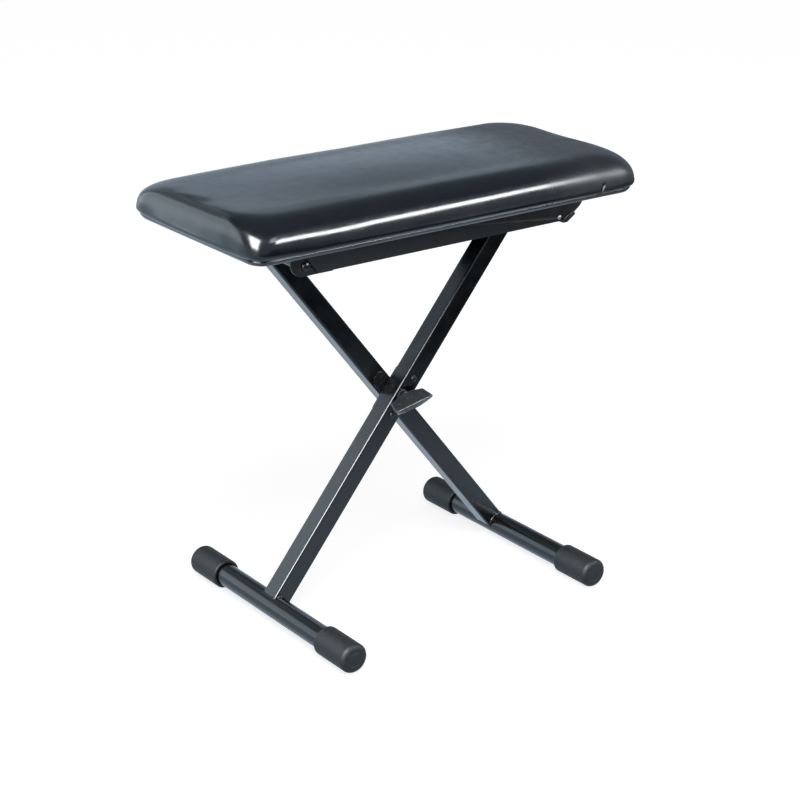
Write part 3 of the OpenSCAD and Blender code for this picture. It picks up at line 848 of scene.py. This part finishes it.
def bell(value, middle, width):
    """1 where value is at the middle, and falling smoothly to 0 beside it."""
    return math.exp(-((value - middle) / width) ** 2)


def pull_of_the_sewing(mesh):
    """Gathers fanning up from the hem seam at the corners, and slack in the vinyl along the sides."""
    points = coordinates(mesh)
    outward = directions(mesh)
    near_side = SEAT_MIDDLE.y - SEAT_HALF_Y + SIDE_SHOULDER
    for i, (x, y, z) in enumerate(points):
        here = Vector((x, y, z))
        rise = z - SEAT_LOW.z
        if rise < HEM_BAND:
            continue
        angle, near = corner_angle(x, y)
        folds = 0.5 - 0.5 * math.cos(2 * math.pi * angle / GATHER_DEGREES)
        ragged = GATHER_RAGGED * noise.noise(here * GATHER_RAGGED_SCALE)
        gather = near * bell(rise, HEM_BAND, GATHER_FADE) * (GATHER * folds + ragged)
        slack = sum(depth * noise.noise(here * scale) for depth, scale in SLACK)
        slack *= SLACK_EVERYWHERE + bell(rise, SLACK_RISE, SLACK_BAND)
        slump = 0.0
        if y < near_side:
            slump = SLUMP * bell(x, SLUMP_X, SLUMP_WIDTH) * bell(rise, SLUMP_RISE, SLUMP_BAND)
        fine = Vector([along * scale for along, scale in zip(here, PUCKER_SCALE)])
        pucker = PUCKER * bell(rise, HEM_BAND, PUCKER_FADE) * noise.noise(fine)
        points[i] += outward[i] * (slack + pucker - gather - slump)
        points[i][2] -= droop_at(x, y) * min(rise / SHOULDER_RISE, 1)
    mesh.vertices.foreach_set("co", points.ravel())
    mesh.update()


def make_cushion():
    """The vinyl cushion: one piece for the CAD's cover and foam."""
    vertices, faces, hem_count = seat_shell()
    cushion = place("cushion", mesh_from("cushion", vertices, faces), "vinyl", "seat")
    inflate(cushion, list(range(hem_count)))
    pull_of_the_sewing(cushion.data)
    smooth = cushion.modifiers.new("smooth", "SUBSURF")
    smooth.levels = 1
    smooth.render_levels = 1
    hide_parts("seat_cover", "seat_foam")


make_cushion()


# ---------------------------------------------------------------- hard pieces

# How far the sharp edges of each piece are rounded, in millimetres.
EDGES = {
    "rail_near": 0.7, "rail_far": 0.7, "hinge_plate_near": 0.6, "hinge_plate_far": 0.6,
    "leg_a_plug": 0.9, "leg_b_plug": 0.9, "rail_end_shoes": 0.6, "lock_plate_a": 0.15,
    "lock_plate_b": 0.15,
}
HANDLE_VOXEL = 0.55 * MM
HANDLE_PASSES = 10

for edge_node, edge_width in EDGES.items():
    softened(edge_node, edge_width * MM)

moulded("lock_handle", HANDLE_VOXEL, HANDLE_PASSES)


def centre_of(node):
    """The middle of a CAD node's box."""
    low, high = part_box(node)
    return (low + high) / 2


FOOT_RADIUS = (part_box("foot_tube_left")[1].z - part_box("foot_tube_left")[0].z) / 2
LEG_HALF = (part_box("leg_a_tube")[1].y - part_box("leg_a_tube")[0].y) / 2
LEG_CORNER = 2.6 * MM
CORNER_STEPS = 5
OUTLINE_STEP = 1.0 * MM

# The beads at the feet: radius, how far their middle stands off the foot, and their ripple as
# (share of the radius, radians per point), with an irregular part as (share, scale).
FOOT_BEAD = 1.4 * MM
BEAD_STAND_OFF = 0.5 * MM
FOOT_RIPPLE = (0.13, 1.9)
FOOT_RAGGED = (0.2, 260)

# The beads round the cross tubes, likewise, and how many points go round.
TUBE_BEAD = 1.5 * MM
TUBE_RIPPLE = (0.14, 1.8)
TUBE_POINTS = 56


def leg_outline():
    """Points round the square leg's outside: (across, along Y), with the corners cut round."""
    flat = LEG_HALF - LEG_CORNER
    points = []
    for turn in range(4):
        count = int(2 * flat / OUTLINE_STEP)
        side = [(LEG_HALF, -flat + 2 * flat * i / count) for i in range(count)]
        side += [
            (flat + LEG_CORNER * math.cos(a), flat + LEG_CORNER * math.sin(a))
            for a in (math.pi / 2 * i / CORNER_STEPS for i in range(CORNER_STEPS))
        ]
        for u, w in side:
            for _ in range(turn):
                u, w = -w, u
            points.append((u, w))
    return points


def foot_weld(name, leg, foot, body):
    """The weld bead where a square leg sits on its round foot."""
    low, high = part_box(leg)
    foot_middle = centre_of(foot)
    rightward = 1 if centre_of(leg).x > foot_middle.x else -1
    top = centre_of(leg.replace("_tube", "_plug"))
    up = Vector((top.x - foot_middle.x, 0, top.z - foot_middle.z)).normalized()
    across = Vector((-up.z * rightward, 0, up.x * rightward))
    path = []
    for u, w in leg_outline():
        reach = math.sqrt(max(FOOT_RADIUS ** 2 - u ** 2, 0))
        middle = Vector((foot_middle.x, (low.y + high.y) / 2 + w, foot_middle.z))
        path.append(middle + across * u + up * (reach + BEAD_STAND_OFF))

    def radius(i):
        ripple = FOOT_RIPPLE[0] * math.sin(i * FOOT_RIPPLE[1])
        ragged = FOOT_RAGGED[0] * noise.noise(path[i] * FOOT_RAGGED[1])
        return FOOT_BEAD * (1 + ripple + ragged)

    place(name, mesh_from(name, *bead(path, radius)), "leg_paint", body)


def tube_weld(name, leg, tube, body):
    """Beads where a cross tube goes through the two side faces of a leg."""
    low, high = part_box(leg)
    middle = centre_of(tube)
    tube_radius = (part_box(tube)[1].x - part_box(tube)[0].x) / 2

    def radius(i):
        return TUBE_BEAD * (1 + TUBE_RIPPLE[0] * math.sin(i * TUBE_RIPPLE[1]))

    rings = []
    for y in (low.y, high.y):
        path = [
            Vector((middle.x + tube_radius * math.cos(a), y, middle.z + tube_radius * math.sin(a)))
            for a in (2 * math.pi * i / TUBE_POINTS for i in range(TUBE_POINTS))
        ]
        rings.append(bead(path, radius))
    place(name, mesh_from(name, *joined(rings)), "leg_paint", body)


foot_weld("foot_weld_left", "leg_a_tube", "foot_tube_left", "leg_a")
foot_weld("foot_weld_right", "leg_b_tube", "foot_tube_right", "leg_b")
tube_weld("slide_weld", "leg_a_tube", "slide_tube", "leg_a")
tube_weld("hinge_weld", "leg_b_tube", "hinge_tube", "leg_b")


# ---------------------------------------------------------------- room and light

# The floor: its size, its own colour, and what it adds to that for the camera.
FLOOR_SIZE = 30.0
FLOOR_COLOUR = 0.45
FLOOR_GLOW = 0.80

# What the floor shows in reflections, by the distance in metres from the bench along one
# heading: bright up to BRIGHT_SIDE, dark from DARK_SIDE, and bright again from FAR_START on.
DARK_HEADING = Vector((0.62, -0.78, 0))
FLOOR_BRIGHT = 1.12
BRIGHT_SIDE = 0.4
FLOOR_DARK = 0.06
DARK_SIDE = 0.98
FLOOR_FAR = 0.9
FAR_START = 2.0
FAR_END = 5.0

# The world: what the camera sees, the fill on matt surfaces, and what reflections show, which
# is the walls up to CEILING_START (a slanted height, 0..1) and the ceiling from CEILING_END.
BACKDROP = 1.0
WORLD_FILL = 0.40
WALL = 0.80
CEILING = 0.26
CEILING_START = 0.655
CEILING_END = 0.78
CEILING_SLANT = (0.21, 0.30)

WHITE = (1, 1, 1)
ROOM_TINT = (0.72, 0.87, 1.03)
WINDOW_TINT = (0.82, 0.96, 1.02)

# The lamps: direction from the seat (0 is +Y, 90 is +X) and elevation in degrees, distance,
# width and height in metres, brightness, what they show in, and colour. A "gloss" lamp only
# shows as a highlight, and a "matt" one only as plain light.
LAMPS = {
    "front_strip": (146, 19.5, 2.5, 0.98, 0.64, 36, "gloss", WHITE),
    "front_edge": (249, 32, 2.4, 1.8, 2.1, 32, "gloss", WHITE),
    "front_fade": (165, 37, 2.5, 0.9, 0.8, 8, "gloss", WHITE),
    "key": (214, 52, 2.6, 1.4, 1.4, 5, "matt", WHITE),
    "left_panel": (-36, 5, 2.6, 2.0, 1.6, 1.75, "gloss", WINDOW_TINT),
    "left_haze": (-8, 33, 2.6, 1.6, 0.6, 0.4, "gloss", WINDOW_TINT),
}


def make_floor():
    """A white floor with the bench's shadow, which shows light and dark pools in reflections."""
    half = FLOOR_SIZE / 2
    corners = [(-half, -half, 0), (half, -half, 0), (half, half, 0), (-half, half, 0)]
    mesh = mesh_from("floor", corners, [(0, 1, 2, 3)])
    material = bpy.data.materials.new("floor")
    material.use_nodes = True
    material.node_tree.nodes.clear()
    t = Tree(material.node_tree)
    seen = t.add("ShaderNodeLightPath").outputs
    spot = t.add("ShaderNodeTexCoord").outputs["Object"]
    ahead = t.product(spot, DARK_HEADING)
    pool = t.spread(ahead, FLOOR_BRIGHT, FLOOR_DARK, BRIGHT_SIDE, DARK_SIDE)
    far = t.spread(ahead, 0, FLOOR_FAR, FAR_START, FAR_END)
    mirrored = t.light("ShaderNodeEmission", ROOM_TINT, t.math("MAXIMUM", pool, far))
    direct = t.math("MAXIMUM", seen["Is Camera Ray"], seen["Is Transmission Ray"])
    glow = t.light("ShaderNodeEmission", WHITE, t.math("MULTIPLY", direct, FLOOR_GLOW))
    plain = t.add("ShaderNodeBsdfDiffuse")
    t.feed(plain.inputs["Color"], (FLOOR_COLOUR, FLOOR_COLOUR, FLOOR_COLOUR))
    both = t.add("ShaderNodeAddShader")
    t.feed(both.inputs[0], plain.outputs["BSDF"])
    t.feed(both.inputs[1], glow)
    output = t.add("ShaderNodeOutputMaterial")
    t.feed(output.inputs["Surface"], t.either(seen["Is Glossy Ray"], both.outputs["Shader"], mirrored))
    mesh.materials.append(material)
    floor = bpy.data.objects.new("floor", mesh)
    bpy.context.scene.collection.objects.link(floor)


def make_world():
    """A white room for the camera, its ceiling dark in reflections, and an even fill elsewhere."""
    world = bpy.data.worlds.new("room")
    bpy.context.scene.world = world
    world.use_nodes = True
    world.node_tree.nodes.clear()
    t = Tree(world.node_tree)
    seen = t.add("ShaderNodeLightPath").outputs
    heading = t.add("ShaderNodeTexCoord").outputs["Generated"]
    slant = t.product(heading, (*CEILING_SLANT, 1))
    level = t.spread(slant, WALL, CEILING, CEILING_START, CEILING_END, "SMOOTHSTEP")
    reflected = t.light("ShaderNodeBackground", ROOM_TINT, level)
    fill = t.light("ShaderNodeBackground", WHITE, WORLD_FILL)
    white = t.light("ShaderNodeBackground", WHITE, BACKDROP)
    direct = t.math("MAXIMUM", seen["Is Camera Ray"], seen["Is Transmission Ray"])
    unseen = t.either(seen["Is Glossy Ray"], fill, reflected)
    output = t.add("ShaderNodeOutputWorld")
    t.feed(output.inputs["Surface"], t.either(direct, unseen, white))


def make_softbox(name, azimuth, elevation, distance, width, height, brightness, seen_in, tint):
    """A soft panel that faces the seat, with its values as in LAMPS."""
    azimuth, elevation = math.radians(azimuth), math.radians(elevation)
    data = bpy.data.lights.new(name, "AREA")
    data.shape = "RECTANGLE"
    data.size = width
    data.size_y = height
    data.energy = brightness * math.pi * width * height
    data.color = tint
    box = bpy.data.objects.new(name, data)
    towards = Vector((
        math.sin(azimuth) * math.cos(elevation),
        math.cos(azimuth) * math.cos(elevation),
        math.sin(elevation),
    ))
    box.location = SEAT_MIDDLE + towards * distance
    box.rotation_euler = towards.to_track_quat("Z", "Y").to_euler()
    box.visible_camera = False
    box.visible_diffuse = seen_in == "matt"
    box.visible_glossy = seen_in == "gloss"
    bpy.context.scene.collection.objects.link(box)


make_floor()
make_world()
for lamp, values in LAMPS.items():
    make_softbox(lamp, *values)

bpy.context.scene.view_settings.view_transform = "Standard"
